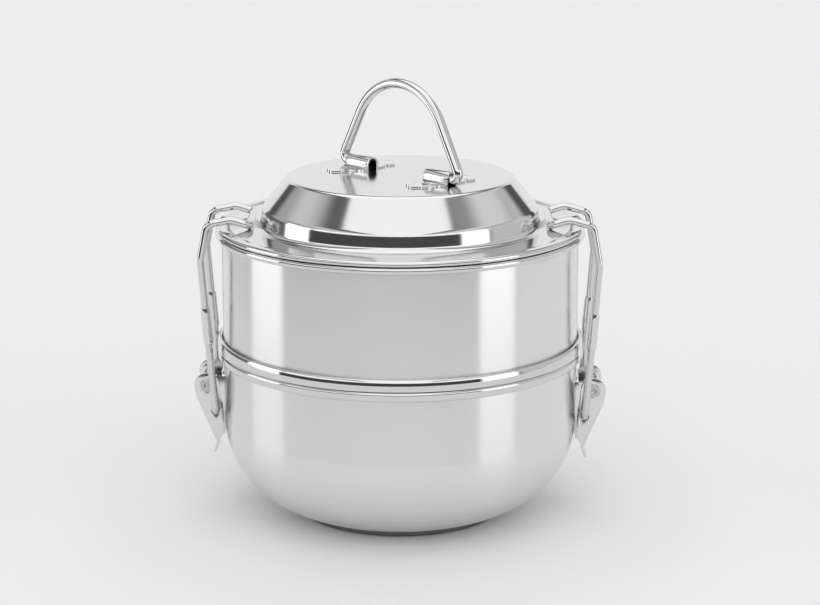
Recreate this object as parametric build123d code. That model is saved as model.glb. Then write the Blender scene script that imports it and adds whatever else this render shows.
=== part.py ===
from build123d import *
import math
import os

# Two-tier stainless steel tiffin carrier: a round-bottomed bowl, a separator plate, a straight
# container, a domed lid with a folding wire handle, and two over-centre clamps that hold the stack.
# Frame: +Z up, origin on the table under the centre of the foot, clamps at -X (left) and +X
# (right), front at -Y. Millimetres.

# ---- Driving dimensions ----

RIM_RADIUS = 75.0          # outside of every rolled rim
WALL_RADIUS = 72.7         # outside of the bowl's and the container's walls
SHEET = 0.8                # steel sheet of the bowl, the container and the lid
PLATE_SHEET = 0.7          # steel sheet of the separator plate
CURL_SLIT = 0.25           # gap between a rolled rim's lip and the wall that it turns back to
SEAT_GAP = 0.15            # gap where one piece of the stack rests on the next

FOOT_RADIUS = 43.0
FOOT_WIDTH = 2.6
FLOOR_UNDERSIDE = 1.5      # height of the bowl's floor over the table
BOWL_CORNER = 37.6         # outer radius of the bowl's rounded bottom
BOWL_RIM_LOW = 65.3
BOWL_RIM_TOP = 69.4

PLATE_RIM_TOP = 74.2
PLATE_SEAT = 70.25         # top of the ledge that the container stands on
PLATE_FLOOR = 67.2         # top of the separator plate's dished floor
PLATE_DISH_RADIUS = 70.6   # inside of the dish's step, which drops into the bowl's mouth

CONTAINER_CORNER = 2.4
CONTAINER_RIM_LOW = 115.2
CONTAINER_RIM_TOP = 118.0

LID_TOP = 139.5
LID_SHOULDER = (45.8, 2.5)         # radius where the top meets the cone, and its rounding
LID_CREASE = (56.1, 126.9)         # radius and height where the cone meets the skirt
LID_SKIRT_FOOT = 57.0
LID_CREASE_BEND = 4.0              # where the cone turns down into the skirt
LID_SKIRT_BEND = 2.5               # where the skirt turns out into the flange
LID_FLANGE = 119.8                 # top of the flat flange round the skirt
LID_FLANGE_EDGE = 69.3
LID_CREST = 120.35                 # top of the lid's rolled rim
LID_RIM_LOW = CONTAINER_RIM_TOP + 0.25
LID_LIP_RADIUS = 71.4              # outside of the lip that centres the lid in the container
LID_LIP_DEPTH = 2.0                # how far that lip reaches below the container's rim

HINGE_DIRECTION = -46.0            # handle's hinge axis, degrees from +X
HANDLE_WIRE = 4.1
HANDLE_TOP = 176.8                 # middle of the wire at the top of the arch
HANDLE_ARCH = 26.5                 # radius of the arch between the two straight legs
HANDLE_SPLAY = 28.5                # lean of each leg from upright, degrees
HINGE_HEIGHT = LID_TOP + HANDLE_WIRE / 2 + 0.15
HANDLE_BEND = 2.7
HANDLE_END = 23.5                  # how near the wire's ends come to the middle

LOOP_INNER_RADIUS = 2.3            # half-round loop that the handle's end turns in
STRAP = 0.7
LOOP_INNER_END = 16.4
LOOP_OUTER_END = 29.7
FOOT_MIDDLE = 23.3                 # the bracket's feet, measured along the hinge axis
FOOT_LENGTH = 12.8
FOOT_LOBES = ((-3.8, 12.0, 2.6), (3.8, 12.0, 2.6), (0, 14.0, 2.9))  # along, out, radius

CLAMP_WIRE = 3.0
LEG_Y = 14.3                       # distance of each clamp leg from the middle plane
CROSSBAR = (60.6, LID_FLANGE + CLAMP_WIRE / 2 + 0.25)
HUMP = (67.6, 123.9)
SHOULDER = (77.6, 122.0)
KINK = (80.4, 107.7)
HUMP_BEND = 6.0                    # bending radii of the wire at those points
SHOULDER_BEND = 3.8
KINK_BEND = 7.0
WIRE_BEND = 2.4
WIRE_HOLE_RADIUS = 2.05            # in the lever, loose round the wire
WIRE_HOLE_DROP = 0.35              # the wire pulls upwards, so the hole's middle is lower
WIRE_END_Y = 9.7                   # how near the bent-in ends come to the middle plane
SLEEVE_START = 20.3                # distance below the kink where the sleeves begin
SLEEVE_RADIUS = 2.0
SLEEVE_LENGTH = 15.0
PIVOT = (79.3, 54.0)               # lever pivot on the left clamp: distance out, height
WIRE_HOLE = (-3.65, -10.65)        # wire hole from the pivot: outwards, up
RIGHT_CLAMP_DROP = 2.4             # the right-hand clamp is welded on this much lower
TAB_WIDTH = 14.0
BRACKET_SHEET = 1.0

LEVER_SHEET = 1.0
LEVER_OUTER_Y = 11.4
LEVER_TOP_RADIUS = 5.1
EAR_OUTER_Y = 9.9
EAR_SHEET = 1.0
EAR_RADIUS = 3.8
RIVET_RADIUS = 2.0
RIVET_HEAD = (2.7, 0.85)           # radius, height
RUNNING_CLEARANCE = 0.06

os.makedirs("parts", exist_ok=True)


def save(shape, name):
    export_step(shape, f"parts/{name}.step")


# ---- Sheet metal turned round the Z axis ----


def strip(points, radii, thickness):
    """The section of a bent sheet that lies to the right of a line through the points."""
    corners = [Vector(*point) for point in points]
    runs = [(b - a).normalized() for a, b in zip(corners, corners[1:])]
    sides = [Vector(run.Y, -run.X) for run in runs]
    far_side = [corners[0] + sides[0] * thickness]
    far_radii = []
    for i, radius in enumerate(radii):
        before = sides[i]
        after = sides[i + 1]
        mitre = (before + after) * (thickness / (1 + before.dot(after)))
        far_side.append(corners[i + 1] + mitre)
        turns_left = runs[i].cross(runs[i + 1]).Z > 0
        far_radii.append(radius + thickness if turns_left else radius - thickness)
    far_side.append(corners[-1] + sides[-1] * thickness)
    near = FilletPolyline(*corners, radius=radii)
    far = FilletPolyline(*far_side, radius=far_radii)
    ends = [Line(corners[0], far_side[0]), Line(corners[-1], far_side[-1])]
    return make_face([*near.edges(), *far.edges(), *[end.edge() for end in ends]])


def spun_sheet(points, radii, thickness):
    """Turn a sheet whose inner or upper surface runs through the points, rounded by the radii."""
    return revolve(Plane.XZ * strip(points, radii, thickness), Axis.Z)


def ring(r_in, r_out, z_low, z_high):
    return Pos(0, 0, z_low) * extrude(Circle(r_out) - Circle(r_in), z_high - z_low)


def make_lower_bowl():
    wall = WALL_RADIUS - SHEET
    shell = spun_sheet(
        [
            (0, FLOOR_UNDERSIDE + SHEET),
            (wall, FLOOR_UNDERSIDE + SHEET),
            (wall, BOWL_RIM_TOP),
            (RIM_RADIUS, BOWL_RIM_TOP),
            (RIM_RADIUS, BOWL_RIM_LOW),
            (WALL_RADIUS + CURL_SLIT, BOWL_RIM_LOW),
        ],
        [BOWL_CORNER - SHEET, 1.4, 1.4, 1.2],
        SHEET,
    )
    foot_top = FLOOR_UNDERSIDE + SHEET / 2
    foot = ring(FOOT_RADIUS - FOOT_WIDTH, FOOT_RADIUS, 0, foot_top + 0.6)
    foot = chamfer(foot.edges().group_by(Axis.Z)[0], 0.35)
    return shell + foot


def make_separator_plate():
    rim_inside = WALL_RADIUS + 0.4
    return spun_sheet(
        [
            (0, PLATE_FLOOR),
            (PLATE_DISH_RADIUS, PLATE_FLOOR),
            (PLATE_DISH_RADIUS, PLATE_SEAT),
            (rim_inside, PLATE_SEAT),
            (rim_inside, PLATE_RIM_TOP),
            (RIM_RADIUS - 0.65, PLATE_RIM_TOP),
            (RIM_RADIUS - 0.2, PLATE_RIM_TOP - 1.0),
            (RIM_RADIUS, PLATE_RIM_TOP - 2.4),
            (RIM_RADIUS, BOWL_RIM_TOP + 0.2),
        ],
        [0.8, 0.9, 0.4, 0.74, 0.74, 2.5, 6.0],
        PLATE_SHEET,
    )


def make_upper_container():
    wall = WALL_RADIUS - SHEET
    floor = PLATE_SEAT + SEAT_GAP + SHEET
    return spun_sheet(
        [
            (0, floor),
            (wall, floor),
            (wall, CONTAINER_RIM_TOP),
            (RIM_RADIUS, CONTAINER_RIM_TOP),
            (RIM_RADIUS, CONTAINER_RIM_LOW),
            (WALL_RADIUS + CURL_SLIT, CONTAINER_RIM_LOW),
        ],
        [CONTAINER_CORNER, 1.3, 1.3, 1.1],
        SHEET,
    )


def make_lid():
    shoulder_radius, shoulder_round = LID_SHOULDER
    shell = spun_sheet(
        [
            (0, LID_TOP),
            (shoulder_radius, LID_TOP),
            LID_CREASE,
            (LID_SKIRT_FOOT, LID_FLANGE),
            (LID_FLANGE_EDGE, LID_FLANGE),
            (LID_FLANGE_EDGE + 2.2, LID_CREST),
            (RIM_RADIUS, LID_CREST),
            (RIM_RADIUS, LID_RIM_LOW),
            (LID_FLANGE_EDGE + 3.2, LID_RIM_LOW),
        ],
        [shoulder_round, LID_CREASE_BEND, LID_SKIRT_BEND, 1.5, 2.0, 1.3, 1.0],
        SHEET,
    )
    lip = ring(
        LID_LIP_RADIUS - SHEET,
        LID_LIP_RADIUS,
        CONTAINER_RIM_TOP - LID_LIP_DEPTH,
        LID_FLANGE + 0.1,
    )
    return shell + lip


# ---- Round wire ----


def wire_along(path, diameter):
    section = Plane(origin=path @ 0, z_dir=path % 0) * Circle(diameter / 2)
    return sweep(section, path=path)


# ---- Handle and its brackets, drawn along X and turned onto the hinge axis ----


def onto_hinge(shape):
    return Rot(0, 0, HINGE_DIRECTION) * shape


def make_handle():
    low = HINGE_HEIGHT
    bend = HANDLE_BEND
    lean = math.radians(HANDLE_SPLAY)
    centre = HANDLE_TOP - HANDLE_ARCH
    leg_top = (HANDLE_ARCH * math.cos(lean), centre + HANDLE_ARCH * math.sin(lean))
    # Where the leg's line would meet the hinge axis, less what the bend takes.
    corner = leg_top[0] + (leg_top[1] - low) * math.tan(lean)
    straight = corner - bend * math.tan((math.pi / 2 + lean) / 2)
    leg_foot = (straight + bend * math.cos(lean), low + bend + bend * math.sin(lean))
    with BuildLine(Plane.XZ) as route:
        Line((-HANDLE_END, low), (-straight, low))
        CenterArc((-straight, low + bend), bend, 270, -90 - HANDLE_SPLAY)
        Line((-leg_foot[0], leg_foot[1]), (-leg_top[0], leg_top[1]))
        CenterArc((0, centre), HANDLE_ARCH, 180 - HANDLE_SPLAY, 2 * HANDLE_SPLAY - 180)
        Line(leg_top, leg_foot)
        CenterArc((straight, low + bend), bend, HANDLE_SPLAY, -90 - HANDLE_SPLAY)
        Line((straight, low), (HANDLE_END, low))
    section = Plane(origin=(-HANDLE_END, 0, low), z_dir=(-1, 0, 0)) * Circle(HANDLE_WIRE / 2)
    return onto_hinge(sweep(section, path=route.line))


def make_handle_bracket():
    """A strap bent up into a half-round loop, for the end of the handle at +X before turning."""
    inner = LOOP_INNER_RADIUS
    outer = inner + STRAP
    low = HINGE_HEIGHT
    length = LOOP_OUTER_END - LOOP_INNER_END
    # Omega section in the plane across the hinge axis, with filleted roots.
    loop = Circle(outer) + Pos(0, -(low - LID_TOP) / 2) * Rectangle(2 * outer, low - LID_TOP)
    strap = Pos(0, LID_TOP - low + STRAP / 2) * Rectangle(2 * outer + 6, STRAP)
    omega = loop + strap
    roots = omega.vertices().filter_by(lambda v: abs(abs(v.X) - outer) < 0.01 and v.Y < 0)
    omega = fillet(roots, 0.9)
    bore = Circle(inner) + Pos(0, -(low - LID_TOP) / 2 - 1) * Rectangle(2 * inner, low - LID_TOP + 2)
    across = Plane(origin=(LOOP_INNER_END, 0, low), x_dir=(0, 1, 0), z_dir=(1, 0, 0))
    body = extrude(across * (omega - bore), length)
    # Two feet with scalloped, rounded ends.
    for side in (1, -1):
        foot = Pos(0, side * 7.4) * Rectangle(FOOT_LENGTH, 8.8)
        for along, out, lobe in FOOT_LOBES:
            foot += Pos(along, side * out) * Circle(lobe)
        for along in (-FOOT_LENGTH / 2, FOOT_LENGTH / 2):
            foot -= Pos(along, side * 8.6) * Circle(1.1)
        pad = Pos(FOOT_MIDDLE, 0, LID_TOP) * extrude(foot, STRAP)
        weld = Pos(FOOT_MIDDLE, side * 9.2, LID_TOP + STRAP) * Sphere(1.3)
        body += pad - Pos(0, 0, 1.15) * weld
    return onto_hinge(body)


# ---- Clamps, drawn on the +X side; the left-hand one is mirrored ----
# "drop" is how much lower than the left-hand clamp this one is welded on.


def clamp_pivot(drop):
    return PIVOT[0], PIVOT[1] - drop


def wire_hole(drop):
    pivot_x, pivot_z = clamp_pivot(drop)
    return pivot_x + WIRE_HOLE[0], pivot_z + WIRE_HOLE[1]


def upper_leg(drop):
    """One hook wire leg from the crossbar over the rim to its kink: (outwards, up)."""
    shoulder = (SHOULDER[0], SHOULDER[1] - 0.35 * drop)
    kink = (KINK[0], KINK[1] - drop)
    return [CROSSBAR, HUMP, shoulder, kink]


def on_lower_leg(drop, distance):
    """The point on the straight lower leg at a distance below the kink."""
    kink = Vector(KINK[0], 0, KINK[1] - drop)
    hole_x, hole_z = wire_hole(drop)
    run = Vector(hole_x, 0, hole_z) - kink
    return kink + run.normalized() * distance, run.normalized()


def make_hook_wire(drop):
    end, _ = on_lower_leg(drop, SLEEVE_START + SLEEVE_LENGTH / 2 - 0.3)
    leg = upper_leg(drop) + [(end.X, end.Z)]
    front = [(x, -LEG_Y, z) for x, z in leg]
    rear = [(x, LEG_Y, z) for x, z in leg]
    radii = [HUMP_BEND, SHOULDER_BEND, KINK_BEND]
    corners = radii[::-1] + [WIRE_BEND, WIRE_BEND] + radii
    path = FilletPolyline(*front[::-1], *rear, radius=corners)
    return wire_along(path, CLAMP_WIRE)


def make_leg_wire(drop, side):
    """The leg below the sleeve, its end bent in through the lever; side is -1 front, 1 rear."""
    start, _ = on_lower_leg(drop, SLEEVE_START + SLEEVE_LENGTH / 2 + 0.3)
    hole_x, hole_z = wire_hole(drop)
    path = FilletPolyline(
        (start.X, side * LEG_Y, start.Z),
        (hole_x, side * LEG_Y, hole_z),
        (hole_x, side * WIRE_END_Y, hole_z),
        radius=WIRE_BEND,
    )
    return wire_along(path, CLAMP_WIRE)


def make_sleeve(drop, side):
    top, down = on_lower_leg(drop, SLEEVE_START)
    place = Plane(origin=(top.X, side * LEG_Y, top.Z), z_dir=(down.X, 0, down.Z))
    tube = extrude(place * Circle(SLEEVE_RADIUS), SLEEVE_LENGTH)
    tube = chamfer(tube.edges().filter_by(GeomType.CIRCLE), 0.25)
    bore = extrude(place * Circle(CLAMP_WIRE / 2), SLEEVE_LENGTH)
    return tube - bore


def cylinder_along_y(x, z, radius, y_from, y_to):
    """A round bar or hole parallel to the Y axis."""
    return extrude(Plane(origin=(x, y_from, z), z_dir=(0, 1, 0)) * Circle(radius), y_to - y_from)


def slab(outline, x, z, y_from, y_to):
    """Extrude an outline of (outwards, up) along Y, its origin at x, z."""
    face_on = Plane(origin=(x, y_to, z), x_dir=(1, 0, 0), z_dir=(0, -1, 0))
    return extrude(face_on * outline, y_to - y_from)


def make_lever(drop):
    x, z = clamp_pivot(drop)
    inner_y = LEVER_OUTER_Y - LEVER_SHEET
    notch = (4.4, -4.8)
    toe = (-3.3, -23.2)
    heel = (-6.3, -21.2)
    top = LEVER_TOP_RADIUS
    profile = Circle(top) + make_face(Polyline((-top, 0), (top, 0), notch, toe, heel, close=True))
    profile = fillet(profile.vertices().filter_by(lambda v: v.Y < -20), 0.9)
    sides = slab(profile, x, z, inner_y, LEVER_OUTER_Y) + slab(
        profile, x, z, -LEVER_OUTER_Y, -inner_y
    )
    # The web joins the two sides along their outer edge and runs on into the finger tab.
    web_line = [
        (notch[0] - 0.25, notch[1] - 0.6),
        (toe[0] + 0.35, toe[1] + 0.8),
        (-3.5, -26.0),
        (-1.9, -29.8),
    ]
    web = slab(strip(web_line, [4.0, 3.0], LEVER_SHEET), x, z, -inner_y, inner_y)
    # Seen from outside, the web is as wide as the lever and narrows to the rounded tab.
    tab_low = z + toe[1] - 0.4
    from_outside = Plane(origin=(x - 12, 0, 0), x_dir=(0, 1, 0), z_dir=(1, 0, 0))
    full_width = Pos(0, tab_low + 15) * Rectangle(2 * inner_y, 30)
    tab = Pos(0, tab_low) * RectangleRounded(TAB_WIDTH, 14.6, 3.0)
    web = web & extrude(from_outside * (full_width + tab), 30)
    lever = sides + web
    hole_x, hole_z = wire_hole(drop)
    lever -= cylinder_along_y(x, z, RIVET_RADIUS + RUNNING_CLEARANCE, -13, 13)
    lever -= cylinder_along_y(hole_x, hole_z - WIRE_HOLE_DROP, WIRE_HOLE_RADIUS, -13, 13)
    return lever


def make_clamp_bracket(drop):
    x, z = clamp_pivot(drop)
    outer = WALL_RADIUS + BRACKET_SHEET
    inner_y = EAR_OUTER_Y - EAR_SHEET
    # Base plate rolled to the wall, narrowing towards its rounded lower end.
    from_outside = Plane(origin=(x - 12, 0, z), x_dir=(0, 1, 0), z_dir=(1, 0, 0))
    outline = make_face(
        Polyline(
            (-EAR_OUTER_Y, 5.0),
            (EAR_OUTER_Y, 5.0),
            (EAR_OUTER_Y, -9.0),
            (5.2, -22.5),
            (-5.2, -22.5),
            (-EAR_OUTER_Y, -9.0),
            close=True,
        )
    )
    outline = fillet(outline.vertices(), 1.8)
    base = ring(WALL_RADIUS, outer, 0, 100) & extrude(from_outside * outline, 30)
    # Two ears carry the rivet.
    root = Line((WALL_RADIUS - 2 - x, 3.4), (WALL_RADIUS - 2 - x, -9.0))
    ear = make_hull(Circle(EAR_RADIUS).edges() + root.edges())
    ears = slab(ear, x, z, inner_y, EAR_OUTER_Y) + slab(ear, x, z, -EAR_OUTER_Y, -inner_y)
    ears -= Pos(0, 0, 50) * Cylinder(WALL_RADIUS, 100)
    bracket = base + ears
    return bracket - cylinder_along_y(x, z, RIVET_RADIUS, -13, 13)


def make_rivet(drop):
    x, z = clamp_pivot(drop)
    head_radius, head_height = RIVET_HEAD
    face = LEVER_OUTER_Y + 0.05
    rivet = cylinder_along_y(x, z, RIVET_RADIUS, -face, face)
    for side in (-1, 1):
        outward = Plane(origin=(x, side * face, z), x_dir=(1, 0, 0), z_dir=(0, side, 0))
        head = extrude(outward * Circle(head_radius), head_height)
        rim = head.edges().filter_by(lambda e: abs(e.center().Y) > face + head_height - 0.01)
        head = fillet(rim, 0.5)
        dimple = outward * Pos(0, 0, head_height + 0.9) * Sphere(1.4)
        rivet += head - dimple
    return rivet


def clamp_parts(drop):
    return {
        "clamp_bracket": make_clamp_bracket(drop),
        "lever": make_lever(drop),
        "lever_rivet": make_rivet(drop),
        "hook_wire": make_hook_wire(drop),
        "sleeve_front": make_sleeve(drop, -1),
        "sleeve_rear": make_sleeve(drop, 1),
        "leg_wire_front": make_leg_wire(drop, -1),
        "leg_wire_rear": make_leg_wire(drop, 1),
    }


# ---- Save every piece ----

save(make_lower_bowl(), "lower_bowl")
save(make_separator_plate(), "separator_plate")
save(make_upper_container(), "upper_container")
save(make_lid(), "lid")
save(make_handle(), "handle")

bracket = make_handle_bracket()
save(bracket, "handle_bracket_right")
save(Rot(0, 0, 180) * bracket, "handle_bracket_left")

for name, piece in clamp_parts(RIGHT_CLAMP_DROP).items():
    save(piece, f"{name}_right")

for name, piece in clamp_parts(0).items():
    save(mirror(piece, about=Plane.YZ), f"{name}_left")
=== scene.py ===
import math

import bmesh
import bpy
from mathutils import Matrix, Vector


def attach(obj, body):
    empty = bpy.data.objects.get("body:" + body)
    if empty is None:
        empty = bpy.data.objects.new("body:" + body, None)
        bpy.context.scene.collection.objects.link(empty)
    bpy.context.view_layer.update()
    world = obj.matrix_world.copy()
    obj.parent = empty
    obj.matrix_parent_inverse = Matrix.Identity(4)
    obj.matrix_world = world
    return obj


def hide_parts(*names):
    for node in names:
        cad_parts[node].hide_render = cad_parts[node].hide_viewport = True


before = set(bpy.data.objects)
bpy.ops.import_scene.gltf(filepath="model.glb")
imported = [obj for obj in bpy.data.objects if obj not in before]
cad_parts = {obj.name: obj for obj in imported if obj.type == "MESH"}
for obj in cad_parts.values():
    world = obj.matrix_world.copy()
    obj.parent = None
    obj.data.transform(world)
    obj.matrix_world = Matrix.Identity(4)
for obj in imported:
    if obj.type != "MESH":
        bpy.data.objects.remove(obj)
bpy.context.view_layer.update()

MM = 0.001
scene = bpy.context.scene


# ---- Camera, floor and studio light ----

camera_data = bpy.data.cameras.new("camera")
camera = bpy.data.objects.new("camera", camera_data)
scene.collection.objects.link(camera)
camera_data.sensor_width = 36.0
camera_data.lens = 96.8
camera_data.clip_start = 0.05
camera.location = (0.0040, -0.8796, 0.3063)
camera.rotation_euler = (math.radians(75.95), 0, 0)
scene.camera = camera
scene.view_settings.view_transform = "Standard"
scene.view_settings.look = "None"


class Graph:
    """Short ways to add and join shader nodes."""

    def __init__(self, tree):
        self.tree = tree
        tree.nodes.clear()

    def add(self, kind, **settings):
        node = self.tree.nodes.new(kind)
        for key, value in settings.items():
            setattr(node, key, value)
        return node

    def put(self, value, socket):
        if hasattr(value, "links"):
            self.tree.links.new(value, socket)
        else:
            socket.default_value = value

    def math(self, operation, *values):
        node = self.add("ShaderNodeMath", operation=operation)
        for value, socket in zip(values, node.inputs):
            self.put(value, socket)
        return node.outputs[0]

    def combine(self, x, y, z):
        node = self.add("ShaderNodeCombineXYZ")
        for value, socket in zip((x, y, z), node.inputs):
            self.put(value, socket)
        return node.outputs[0]

    def separate(self, vector):
        node = self.add("ShaderNodeSeparateXYZ")
        self.put(vector, node.inputs[0])
        return node.outputs

    def step(self, value, low, high):
        """0 below low and 1 above high, smooth between them."""
        node = self.add("ShaderNodeMapRange", interpolation_type="SMOOTHSTEP")
        self.put(value, node.inputs["Value"])
        self.put(low, node.inputs["From Min"])
        self.put(high, node.inputs["From Max"])
        return node.outputs[0]

    def band(self, value, low, high, soft):
        """1 between low and high, fading over soft at both ends."""
        up = self.step(value, low - soft, low + soft)
        down = self.step(value, high - soft, high + soft)
        return self.math("SUBTRACT", up, down)

    def mix(self, mask, low, high):
        """low where the mask is 0 and high where it is 1."""
        node = self.add("ShaderNodeMapRange", clamp=True)
        self.put(mask, node.inputs["Value"])
        self.put(low, node.inputs["To Min"])
        self.put(high, node.inputs["To Max"])
        return node.outputs[0]

    def noise(self, vector, scale, detail=2.0, roughness=0.5):
        node = self.add("ShaderNodeTexNoise")
        self.put(vector, node.inputs["Vector"])
        node.inputs["Scale"].default_value = scale
        node.inputs["Detail"].default_value = detail
        node.inputs["Roughness"].default_value = roughness
        return node.outputs["Fac"]


# Directions round the room in degrees: 0 is straight behind the object, negative is to the left, and
# 180 is towards the camera. A row is: from, to, brightness, softness of its ends.
LEFT_PANEL = (-101, -73)
RIGHT_PANEL = (103, 129)
PANEL = 1.9                # brightness of the two standing softboxes
BACKDROP_ROW = (-33, 33, 0.96, 1.2)
LOW_ROWS = [
    (-205, -101, 0.07, 2),
    (-73, -34, 0.16, 2),
    BACKDROP_ROW,
    (42, 101, 0.68, 3),
    (129, 205, 0.07, 3),
]
HIGH_ROWS = [
    (-205, -101, 1.45, 5),
    (-101, -44, 0.50, 4),
    BACKDROP_ROW,
    (46, 103, 0.72, 4),
    (103, 205, 1.45, 5),
]
# On the ceiling, a direction is its sideways or backward distance for each unit of height.
CEILING = 0.34
CEILING_ROWS = [
    (-1.55, -1.0, 0.75, 0.22),
    (-0.90, 0.62, 0.14, 0.10),
    (0.90, 1.5, 0.85, 0.12),
    (1.5, 9.0, 0.50, 0.3),
]
OVERHEAD = 1.25            # brightness of the long overhead softbox
OVERHEAD_MIDDLE = 1.4      # and of its middle, straight above
SEEN_BACKDROP = 0.86       # what the camera sees behind the floor


def studio_world():
    """A light tent: pale backdrop, two side softboxes, one overhead, and dark gaps between."""
    world = bpy.data.worlds.new("studio")
    scene.world = world
    world.use_nodes = True
    g = Graph(world.node_tree)
    x, y, z = g.separate(g.add("ShaderNodeTexCoord").outputs["Generated"])
    turn = g.math("MULTIPLY", g.math("ARCTAN2", x, y), 180 / math.pi)
    lift = g.math("MULTIPLY", g.math("ARCSINE", z), 180 / math.pi)

    def rows_over(value, direction, rows):
        for low, high, strength, soft in rows:
            value = g.mix(g.band(direction, low, high, soft), value, strength)
        return value

    def box(value, across_ends, along_ends, across_soft, along_soft, strength):
        """A softbox on the ceiling."""
        inside_box = g.math(
            "MULTIPLY", g.band(across, *across_ends, across_soft), g.band(along, *along_ends, along_soft)
        )
        return g.mix(g.math("MULTIPLY", inside_box, g.step(z, 0.24, 0.3)), value, strength)

    # Near the horizon the room is dark in front, and dim to the left of the backdrop.
    low_part = rows_over(0.06, turn, LOW_ROWS)
    high_part = rows_over(0.10, turn, HIGH_ROWS)
    value = g.mix(g.step(lift, 9, 15), low_part, high_part)
    panels = rows_over(0.0, turn, [(*LEFT_PANEL, 1.0, 1.5), (*RIGHT_PANEL, 1.0, 2.0)])
    panels = g.math("MULTIPLY", panels, g.math("SUBTRACT", 1.0, g.step(lift, 17, 25)))
    value = g.mix(panels, value, PANEL)
    up = g.math("MAXIMUM", z, 0.05)
    across = g.math("DIVIDE", x, up)
    along = g.math("DIVIDE", y, up)
    ceiling = rows_over(CEILING, across, CEILING_ROWS)
    value = g.mix(g.step(lift, 20, 34), value, ceiling)
    # The overhead softbox reaches down towards the camera.
    value = box(value, (-0.65, 0.58), (-3.2, 0.90), 0.03, 0.05, OVERHEAD)
    value = box(value, (-0.58, 0.52), (-0.08, 0.84), 0.05, 0.05, OVERHEAD_MIDDLE)
    seen = g.add("ShaderNodeLightPath").outputs["Is Camera Ray"]
    value = g.mix(seen, value, SEEN_BACKDROP)
    background = g.add("ShaderNodeBackground")
    g.put(g.combine(value, value, value), background.inputs["Color"])
    out = g.add("ShaderNodeOutputWorld")
    g.put(background.outputs[0], out.inputs["Surface"])


FLOOR_RADIUS = 0.75        # the paper ends just outside the picture, in front and at the sides
FLOOR_BACK = 6.0           # and runs far back
FLOOR_BACK_HALF = 1.6
FLOOR_SINK = 0.0002        # keeps the floor clear of the foot


def studio_floor():
    """A sheet of pale paper with a round front edge."""
    data = bpy.data.meshes.new("studio_floor")
    maker = bmesh.new()
    edge = [
        (FLOOR_RADIUS * math.cos(a), FLOOR_RADIUS * math.sin(a))
        for a in (-math.pi * k / 48 for k in range(49))
    ]
    corners = [(FLOOR_BACK_HALF, FLOOR_BACK)] + edge + [(-FLOOR_BACK_HALF, FLOOR_BACK)]
    maker.faces.new([maker.verts.new((x, y, 0)) for x, y in corners][::-1])
    maker.to_mesh(data)
    maker.free()
    floor = bpy.data.objects.new("studio_floor", data)
    scene.collection.objects.link(floor)
    floor.location.z = -FLOOR_SINK
    material = bpy.data.materials.new("studio_paper")
    material.use_nodes = True
    g = Graph(material.node_tree)
    shader = g.add("ShaderNodeBsdfPrincipled")
    shader.inputs["Base Color"].default_value = (0.91, 0.91, 0.91, 1)
    shader.inputs["Roughness"].default_value = 0.75
    shader.inputs["Specular IOR Level"].default_value = 0.2
    out = g.add("ShaderNodeOutputMaterial")
    g.put(shader.outputs[0], out.inputs["Surface"])
    data.materials.append(material)


studio_world()
studio_floor()


# ---- Steel ----


SHADE_SPREAD = 0.025       # how much streaks and patches shift the grey
SMUDGE_DEPTH = 0.10        # roughness that a full smudge adds
WAVE_HEIGHT = 0.00035      # metres, at waves = 1
LINE_HEIGHT = 0.000006     # metres, at lines = 1


def grain_place(g, place, grain):
    """Where the fine lines are looked up: stretched, so that they run the way the piece was worked."""
    x, y, z = g.separate(place)
    if grain == "round":
        # Lines run round the Z axis, so they vary mostly with radius and height.
        radius = g.math("SQRT", g.math("ADD", g.math("MULTIPLY", x, x), g.math("MULTIPLY", y, y)))
        safe = g.math("MAXIMUM", radius, 0.0005)
        return g.combine(
            g.math("MULTIPLY", g.math("DIVIDE", x, safe), 2.2),
            g.math("MULTIPLY", g.math("DIVIDE", y, safe), 2.2),
            g.math("MULTIPLY", g.math("ADD", z, radius), 2600),
        )
    # Drawn wire has lines along it, mostly up; rolled sheet has them across the pressed pieces.
    scales = (2600, 2600, 60) if grain == "up" else (500, 120, 2600)
    return g.combine(*(g.math("MULTIPLY", value, scale) for value, scale in zip((x, y, z), scales)))


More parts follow.
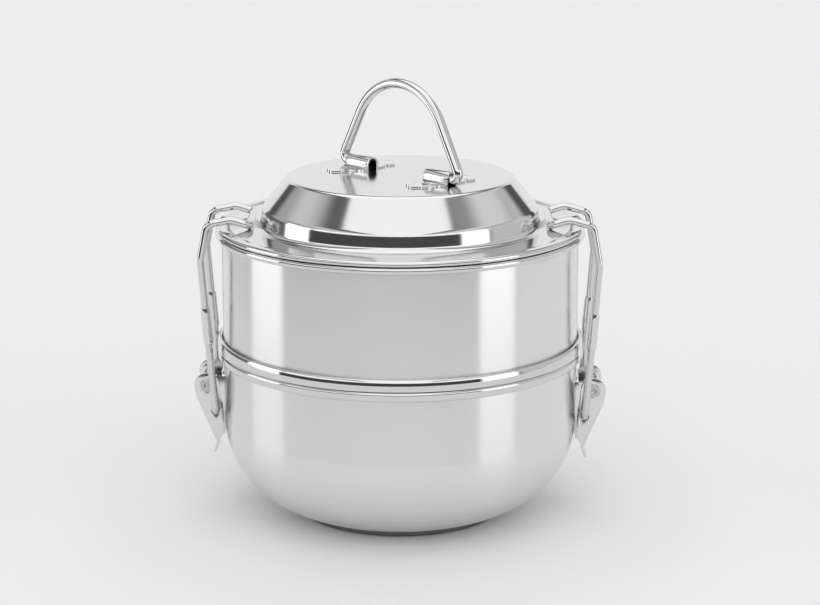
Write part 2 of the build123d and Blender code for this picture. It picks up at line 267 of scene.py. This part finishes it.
def steel(name, grey, rough, stretch=0.0, lines=0.0, waves=0.0, grain="round", smudge=0.5):
    """Stainless steel: turning or drawing lines, faint waviness, smudges and fine scratches."""
    material = bpy.data.materials.new(name)
    material.use_nodes = True
    g = Graph(material.node_tree)
    place = g.add("ShaderNodeTexCoord").outputs["Object"]
    streaks = g.noise(grain_place(g, place, grain), 1.0, 3.0, 0.6)
    patches = g.noise(place, 38.0, 3.0, 0.55)
    marks = g.noise(place, 260.0, 4.0, 0.7)
    dots = g.math("MULTIPLY", g.step(marks, 0.60, 0.74), 0.5)
    # Roughness: base, plus streaks, plus handling smudges.
    extra = g.math("MULTIPLY", g.math("SUBTRACT", streaks, 0.5), 0.12 * lines)
    haze = g.math("MULTIPLY", g.step(patches, 0.42, 0.68), SMUDGE_DEPTH * smudge)
    speck = g.math("MULTIPLY", dots, SMUDGE_DEPTH * smudge)
    roughness = g.math("ADD", g.math("ADD", rough, extra), g.math("ADD", haze, speck))
    # Colour: streaks and patches shift the grey slightly, and blue is a touch higher.
    shade = g.math(
        "ADD", g.math("MULTIPLY", streaks, SHADE_SPREAD), g.math("MULTIPLY", patches, SHADE_SPREAD)
    )
    shade = g.math("SUBTRACT", shade, SHADE_SPREAD)
    parts = [g.math("ADD", channel, shade) for channel in (grey, grey, grey + 0.005)]
    shader = g.add("ShaderNodeBsdfPrincipled")
    shader.inputs["Metallic"].default_value = 1.0
    shader.inputs["Anisotropic"].default_value = stretch
    if stretch:
        tangent = g.add("ShaderNodeTangent", direction_type="RADIAL", axis="Z")
        g.put(tangent.outputs[0], shader.inputs["Tangent"])
        shader.inputs["Anisotropic Rotation"].default_value = 0.25
    g.put(g.combine(*parts), shader.inputs["Base Color"])
    g.put(g.math("MAXIMUM", roughness, 0.03), shader.inputs["Roughness"])
    # Bump: slow waves from spinning, and the fine lines.
    if waves or lines:
        wave = g.add("ShaderNodeBump")
        wave.inputs["Strength"].default_value = 1.0
        wave.inputs["Distance"].default_value = WAVE_HEIGHT * waves
        g.put(g.noise(place, 14.0, 1.0, 0.4), wave.inputs["Height"])
        fine = g.add("ShaderNodeBump")
        fine.inputs["Strength"].default_value = 0.25
        fine.inputs["Distance"].default_value = LINE_HEIGHT * lines
        g.put(streaks, fine.inputs["Height"])
        g.put(wave.outputs[0], fine.inputs["Normal"])
        g.put(fine.outputs[0], shader.inputs["Normal"])
    out = g.add("ShaderNodeOutputMaterial")
    g.put(shader.outputs[0], out.inputs["Surface"])
    return material


satin = steel("satin_spun_steel", 0.80, 0.22, stretch=1.0, lines=0.2, waves=0.1, smudge=0.3)
inside = steel("inside_spun_steel", 0.62, 0.34, stretch=0.6, lines=1.0, waves=0.3)
polished = steel("polished_rim_steel", 0.69, 0.05, lines=0.15, waves=0.1, smudge=0.2)
mirror = steel("buffed_lid_steel", 0.69, 0.10, stretch=0.6, lines=0.5, waves=0.3, smudge=0.25)
plate_top = steel("buffed_top_steel", 0.69, 0.12, lines=0.3, waves=0.3, smudge=0.3)
wire = steel("bright_wire_steel", 0.67, 0.05, lines=0.3, waves=0.1, grain="up", smudge=0.2)
sleeve = steel("sleeve_tube_steel", 0.72, 0.10, lines=0.4, grain="up", smudge=0.4)
pressed = steel("pressed_sheet_steel", 0.73, 0.11, lines=0.3, waves=0.2, grain="sheet", smudge=0.4)
# The foot ring's very dark grey is painted shade: it stands in for the contact shadow that the ring
# reflects where the bowl meets the floor.
foot_painted_shade_steel = steel("foot_ring_painted_shade_steel", 0.20, 0.35, smudge=0.4)
rivet = steel("rivet_head_steel", 0.56, 0.26, lines=0.6, grain="sheet", smudge=0.8)


# ---- Mesh code ----


def rounded(points, radii, arc_step=7.5, support=0.12):
    """Points along a line with rounded corners, in 2D or 3D. Support points hold the ends of straights."""
    corners = [Vector(p).to_3d() for p in points]
    path = [corners[0]]
    for i, radius in enumerate(radii):
        before, corner, after = corners[i], corners[i + 1], corners[i + 2]
        d_in = (corner - before).normalized()
        d_out = (after - corner).normalized()
        bend = d_in.angle(d_out)
        reach = radius * math.tan(bend / 2)
        start = corner - d_in * reach
        normal = d_in.cross(d_out).normalized()
        centre = start + normal.cross(d_in) * radius
        count = max(3, math.ceil(math.degrees(bend) / arc_step))
        if (start - path[-1]).length > 3 * support:
            path.append(path[-1] + d_in * support)
            path.append(start - d_in * support)
        for k in range(count + 1):
            turn = Matrix.Rotation(bend * k / count, 3, normal)
            path.append(centre + turn @ (start - centre))
    last = corners[-1]
    direction = (last - path[-1]).normalized()
    if (last - path[-1]).length > 3 * support:
        path.append(path[-1] + direction * support)
        path.append(last - direction * support)
    path.append(last)
    return path


def strip(points, radii, thickness):
    """Closed outline of a bent sheet that lies to the right of a 2D line through the points."""
    corners = [Vector(p).to_3d() for p in points]
    runs = [(b - a).normalized() for a, b in zip(corners, corners[1:])]
    sides = [Vector((run.y, -run.x, 0)) for run in runs]
    far = [corners[0] + sides[0] * thickness]
    far_radii = []
    for i, radius in enumerate(radii):
        mitre = (sides[i] + sides[i + 1]) * (thickness / (1 + sides[i].dot(sides[i + 1])))
        far.append(corners[i + 1] + mitre)
        left = runs[i].cross(runs[i + 1]).z > 0
        far_radii.append(radius + thickness if left else radius - thickness)
    far.append(corners[-1] + sides[-1] * thickness)
    return rounded(corners, radii) + rounded(far, far_radii)[::-1]


def new_piece(name, maker, body, node, materials, sharp=35):
    """Turn the mesh being made into a piece that rides on a body and stands for a node."""
    data = bpy.data.meshes.new(name)
    maker.to_mesh(data)
    maker.free()
    piece = bpy.data.objects.new(name, data)
    scene.collection.objects.link(piece)
    for material in materials:
        data.materials.append(material)
    data.shade_smooth()
    data.set_sharp_from_angle(angle=math.radians(sharp))
    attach(piece, body)
    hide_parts(node)
    return piece


def lathe(maker, outline, segments=288, choose=lambda middle: 0):
    """Turn a closed outline of (radius, height) in millimetres round Z; choose picks the material."""
    rings = []
    for point in outline:
        r, z = point.x * MM, point.y * MM
        if r < 1e-7:
            rings.append([maker.verts.new((0, 0, z))])
        else:
            rings.append([
                maker.verts.new((r * math.cos(a), r * math.sin(a), z))
                for a in (2 * math.pi * k / segments for k in range(segments))
            ])
    for i, ring in enumerate(rings):
        follow = rings[(i + 1) % len(rings)]
        if len(ring) == 1 and len(follow) == 1:
            continue
        index = choose((outline[i] + outline[(i + 1) % len(outline)]) / 2)
        for k in range(segments):
            n = (k + 1) % segments
            if len(ring) == 1:
                face = maker.faces.new((ring[0], follow[k], follow[n]))
            elif len(follow) == 1:
                face = maker.faces.new((ring[k], follow[0], ring[n]))
            else:
                face = maker.faces.new((ring[k], follow[k], follow[n], ring[n]))
            face.material_index = index
    bmesh.ops.recalc_face_normals(maker, faces=maker.faces)


# A cut end in shares of its rounding: how far along the wire, and how far in from its surface. The
# second ring lies deeper than the third, so the rounding has a tiny fold in it.
END_ROUNDING = 0.35
END_RINGS = [(0.0, 1.0), (0.5, 0.5), (0.134, 0.134), (1.0, 0.0)]


def tube(maker, path, radius, sides=28):
    """A round wire along a path in millimetres, its cut ends slightly rounded over."""
    points = [p * MM for p in path]
    full = radius * MM
    ease = END_ROUNDING * MM
    tangents = []
    for i in range(len(points)):
        before = points[max(i - 1, 0)]
        after = points[min(i + 1, len(points) - 1)]
        tangents.append((after - before).normalized())
    side = tangents[0].orthogonal().normalized()
    rings = []

    def add_ring(place, tangent, size):
        up = tangent.cross(side)
        rings.append([
            maker.verts.new(place + (side * math.cos(a) + up * math.sin(a)) * size)
            for a in (2 * math.pi * k / sides for k in range(sides))
        ])

    for i, (point, tangent) in enumerate(zip(points, tangents)):
        side = (side - tangent * side.dot(tangent)).normalized()
        if i == 0:
            for along, inset in END_RINGS:
                add_ring(point + tangent * (ease * along), tangent, full - ease * inset)
        elif i == len(points) - 1:
            for along, inset in reversed(END_RINGS):
                add_ring(point - tangent * (ease * along), tangent, full - ease * inset)
        else:
            add_ring(point, tangent, full)
    for a, b in zip(rings, rings[1:]):
        for k in range(sides):
            n = (k + 1) % sides
            maker.faces.new((a[k], a[n], b[n], b[k]))
    maker.faces.new(rings[0][::-1])
    maker.faces.new(rings[-1])
    bmesh.ops.recalc_face_normals(maker, faces=maker.faces)


# ---- Spun bodies, with the same profiles as the CAD, in millimetres ----

RIM = 75.0                 # outside of every rolled rim
SHEET = 0.8
PLATE_SHEET = 0.7
INNER_WALL = 71.9          # inside of the bowl's and the container's walls
MIDDLE_OF_WALL = INNER_WALL + SHEET / 2
LIP = 72.95                # where a rolled rim's lip ends, just outside the wall
BOWL_FLOOR = 2.3
BOWL_BEND = 36.8           # inner radius of the bowl's rounded bottom
BOWL_RIM_LOW = 65.3
BOWL_RIM_TOP = 69.4
FOOT_RING = (40.4, 43.0)
PLATE_FLOOR = 67.2
PLATE_DISH = 70.6
PLATE_SEAT = 70.25         # the ledge that the container stands on
PLATE_WELL = 73.1          # inside of the rim round that ledge
PLATE_RIM_TOP = 74.2
PLATE_RIM_LOW = 69.6
CONTAINER_FLOOR = 71.2
CONTAINER_RIM_LOW = 115.2
CONTAINER_RIM_TOP = 118.0
LID_TOP = 139.5
LID_FLANGE = 119.8
LID_CREST = 120.35         # top of the lid's rolled rim
LID_RIM_LOW = 118.25
RIM_FINISH = 0.4           # the rim's polish starts this far below its lip


def spun(name, node, points, radii, thickness, materials, choose, extra=None):
    """A body turned from one sheet; extra is the outline of a ring joined to it, in the last material."""
    maker = bmesh.new()
    lathe(maker, strip(points, radii, thickness), choose=choose)
    if extra:
        lathe(maker, extra, choose=lambda middle: len(materials) - 1)
    return new_piece(name, maker, node, node, materials)


def ring_outline(r_in, r_out, low, high, ease):
    points = [(r_in, high), (r_in, low), (r_out, low), (r_out, high)]
    return rounded(points, [ease, ease], support=0.1)


def bowl_finish(middle):
    """Polished rim, satin outside, dull inside."""
    if middle.y > BOWL_RIM_LOW - RIM_FINISH:
        return 1
    out = max(middle.x - (INNER_WALL - BOWL_BEND), 0)
    down = min(middle.y - (BOWL_FLOOR + BOWL_BEND), 0)
    return 2 if math.hypot(out, down) < BOWL_BEND + SHEET / 2 and middle.x < MIDDLE_OF_WALL else 0


def container_finish(middle):
    if middle.y > CONTAINER_RIM_LOW - RIM_FINISH:
        return 1
    return 2 if middle.x < MIDDLE_OF_WALL else 0


def lid_finish(middle):
    """Polished rim, mirror cone and skirt, and a finely brushed flat top."""
    if middle.x > 69.0:
        return 1
    return 2 if middle.y > 138.4 and middle.x < 46.5 else 0


spun(
    "bowl_spun", "lower_bowl",
    [
        (0, BOWL_FLOOR), (INNER_WALL, BOWL_FLOOR), (INNER_WALL, BOWL_RIM_TOP), (RIM, BOWL_RIM_TOP),
        (RIM, BOWL_RIM_LOW), (LIP, BOWL_RIM_LOW),
    ],
    [BOWL_BEND, 1.4, 1.4, 1.2], SHEET, [satin, polished, inside, foot_painted_shade_steel], bowl_finish,
    # The foot ring gets the darkened steel, which is painted shade for the contact shadow.
    extra=ring_outline(*FOOT_RING, 0.0, 2.5, 0.35),
)

spun(
    "plate_pressed", "separator_plate",
    [
        (0, PLATE_FLOOR), (PLATE_DISH, PLATE_FLOOR), (PLATE_DISH, PLATE_SEAT), (PLATE_WELL, PLATE_SEAT),
        (PLATE_WELL, PLATE_RIM_TOP), (RIM - 0.65, PLATE_RIM_TOP), (RIM - 0.2, PLATE_RIM_TOP - 1.0),
        (RIM, PLATE_RIM_TOP - 2.4), (RIM, PLATE_RIM_LOW),
    ],
    [0.8, 0.9, 0.4, 0.74, 0.74, 2.5, 6.0], PLATE_SHEET, [inside, polished],
    lambda middle: 1 if middle.x > 70 else 0,
)

spun(
    "container_spun", "upper_container",
    [
        (0, CONTAINER_FLOOR), (INNER_WALL, CONTAINER_FLOOR), (INNER_WALL, CONTAINER_RIM_TOP),
        (RIM, CONTAINER_RIM_TOP), (RIM, CONTAINER_RIM_LOW), (LIP, CONTAINER_RIM_LOW),
    ],
    [2.4, 1.3, 1.3, 1.1], SHEET, [satin, polished, inside], container_finish,
)

spun(
    "lid_spun", "lid",
    [
        (0, LID_TOP), (45.8, LID_TOP), (56.1, 126.9), (57.0, LID_FLANGE), (69.3, LID_FLANGE),
        (71.5, LID_CREST), (RIM, LID_CREST), (RIM, LID_RIM_LOW), (72.5, LID_RIM_LOW),
    ],
    [2.5, 4.0, 2.5, 1.5, 2.0, 1.1, 0.9], SHEET, [mirror, polished, plate_top],
    lid_finish, extra=ring_outline(70.6, 71.4, 116.0, 119.6, 0.2),
)


# ---- Wires ----

HINGE_DIRECTION = -46      # the handle's hinge axis, degrees from +X
HINGE_HEIGHT = 141.7
HANDLE_RADIUS = 2.05
HANDLE_END = 23.5
HANDLE_BEND = 2.7
ARCH_RADIUS = 26.5
ARCH_CENTRE = 150.3
HANDLE_SPLAY = math.radians(28.5)


def handle_wire():
    """An arch on two straight, leaning legs, whose ends turn in along the hinge axis."""
    leg_top = Vector((
        -ARCH_RADIUS * math.cos(HANDLE_SPLAY), 0, ARCH_CENTRE + ARCH_RADIUS * math.sin(HANDLE_SPLAY)
    ))
    corner = leg_top.x - (leg_top.z - HINGE_HEIGHT) * math.tan(HANDLE_SPLAY)
    left = rounded([(-HANDLE_END, 0, HINGE_HEIGHT), (corner, 0, HINGE_HEIGHT), leg_top], [HANDLE_BEND])
    arch = [
        Vector((-ARCH_RADIUS * math.cos(a), 0, ARCH_CENTRE + ARCH_RADIUS * math.sin(a)))
        for a in (HANDLE_SPLAY + (math.pi - 2 * HANDLE_SPLAY) * k / 60 for k in range(1, 60))
    ]
    right = [Vector((-p.x, 0, p.z)) for p in left[::-1]]
    onto_hinge = Matrix.Rotation(math.radians(HINGE_DIRECTION), 3, "Z")
    maker = bmesh.new()
    tube(maker, [onto_hinge @ p for p in left + arch + right], HANDLE_RADIUS, sides=36)
    new_piece("handle_wire", maker, "handle", "handle", [wire])


WIRE_RADIUS = 1.5
LEG_Y = 14.3               # distance of each clamp leg from the middle plane
WIRE_END_Y = 9.7           # how near the bent-in ends come to it
HUMP_BEND = 6.0
SHOULDER_BEND = 3.8
KINK_BEND = 7.0
WIRE_BEND = 2.4
LEVER_HOLE = (75.65, 43.35)
HOOK_END = 27.5            # distances below the kink: end of the hook wire,
LEG_START = 28.1           # start of the leg wire,
SLEEVE_START = 20.3        # and start of the sleeve that covers both
SLEEVE_LENGTH = 15
# Radius of the sleeve at each distance from its end; it is pinched a little where it is crimped.
SLEEVE_END = [(1.5, 0), (1.74, 0), (1.83, 0.06), (1.86, 0.2), (1.92, 0.9), (1.99, 1.7), (2.0, 2.2)]
RIGHT_DROP = 2.4           # the right-hand clamp sits this much lower


def clamp_wires(side, name, drop):
    """One clamp's hook wire, sleeves and leg wires; side is -1 left, 1 right."""
    hole_x = LEVER_HOLE[0]
    hole_z = LEVER_HOLE[1] - drop
    hook = [(60.6, 121.55), (67.6, 123.9), (77.6, 122.0 - 0.35 * drop), (80.4, 107.7 - drop)]
    kink = Vector((hook[3][0], 0, hook[3][1]))
    run = (Vector((hole_x, 0, hole_z)) - kink).normalized()
    hook_end = kink + run * HOOK_END
    leg_start = kink + run * LEG_START
    sleeve_start = kink + run * SLEEVE_START
    down = Vector((side * run.x, 0, run.z))
    body = "wire_bail_" + name

    def leg_of_hook(y):
        return [(side * x, y, z) for x, z in hook + [(hook_end.x, hook_end.z)]]

    maker = bmesh.new()
    bends = [KINK_BEND, SHOULDER_BEND, HUMP_BEND, WIRE_BEND]
    path = rounded(leg_of_hook(-LEG_Y)[::-1] + leg_of_hook(LEG_Y), bends + bends[::-1])
    tube(maker, path, WIRE_RADIUS)
    new_piece("hook_" + name, maker, body, "hook_wire_" + name, [wire])
    for sign, place in ((-1, "front"), (1, "rear")):
        y = sign * LEG_Y
        bend = [
            (side * leg_start.x, y, leg_start.z), (side * hole_x, y, hole_z),
            (side * hole_x, sign * WIRE_END_Y, hole_z),
        ]
        maker = bmesh.new()
        tube(maker, rounded(bend, [WIRE_BEND]), WIRE_RADIUS)
        node = f"leg_wire_{place}_{name}"
        new_piece(f"leg_{place}_{name}", maker, body, node, [wire])
        far_end = [(r, SLEEVE_LENGTH - z) for r, z in reversed(SLEEVE_END)]
        maker = bmesh.new()
        lathe(maker, [Vector(p).to_3d() for p in SLEEVE_END + far_end], segments=36)
        along_leg = down.to_track_quat("Z", "Y").to_matrix().to_4x4()
        along_leg.translation = Vector((side * sleeve_start.x, y, sleeve_start.z)) * MM
        maker.transform(along_leg)
        node = f"sleeve_{place}_{name}"
        new_piece(f"tube_{place}_{name}", maker, body, node, [sleeve])


handle_wire()
clamp_wires(-1, "left", 0.0)
clamp_wires(1, "right", RIGHT_DROP)


# ---- Pressed pieces: the CAD shape with tumbled edges ----


WELD_DISTANCE = 2e-6       # metres; joins the corners that neighbouring CAD faces share
FLAT_ANGLE = math.radians(0.6)
EDGE_ANGLE = math.radians(38)


def eased(node, body, material, width):
    """The node's CAD shape with its edges rounded over by width millimetres."""
    maker = bmesh.new()
    maker.from_mesh(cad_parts[node].data)
    bmesh.ops.remove_doubles(maker, verts=maker.verts, dist=WELD_DISTANCE)
    bmesh.ops.dissolve_limit(
        maker, angle_limit=FLAT_ANGLE, verts=maker.verts, edges=maker.edges, delimit={"NORMAL"}
    )
    edges = [e for e in maker.edges if len(e.link_faces) == 2 and e.calc_face_angle() > EDGE_ANGLE]
    bmesh.ops.bevel(
        maker, geom=edges, offset=width * MM, segments=2, profile=0.6, affect="EDGES", clamp_overlap=True
    )
    for face in maker.faces:
        face.material_index = 0
    return new_piece(node + "_eased", maker, body, node, [material], sharp=50)


for end in ("left", "right"):
    eased("lever_" + end, "lever_" + end, pressed, 0.16)
    eased("clamp_bracket_" + end, "lower_bowl", pressed, 0.14)
    eased("handle_bracket_" + end, "lid", pressed, 0.12)
    eased("lever_rivet_" + end, "lower_bowl", rivet, 0.06)
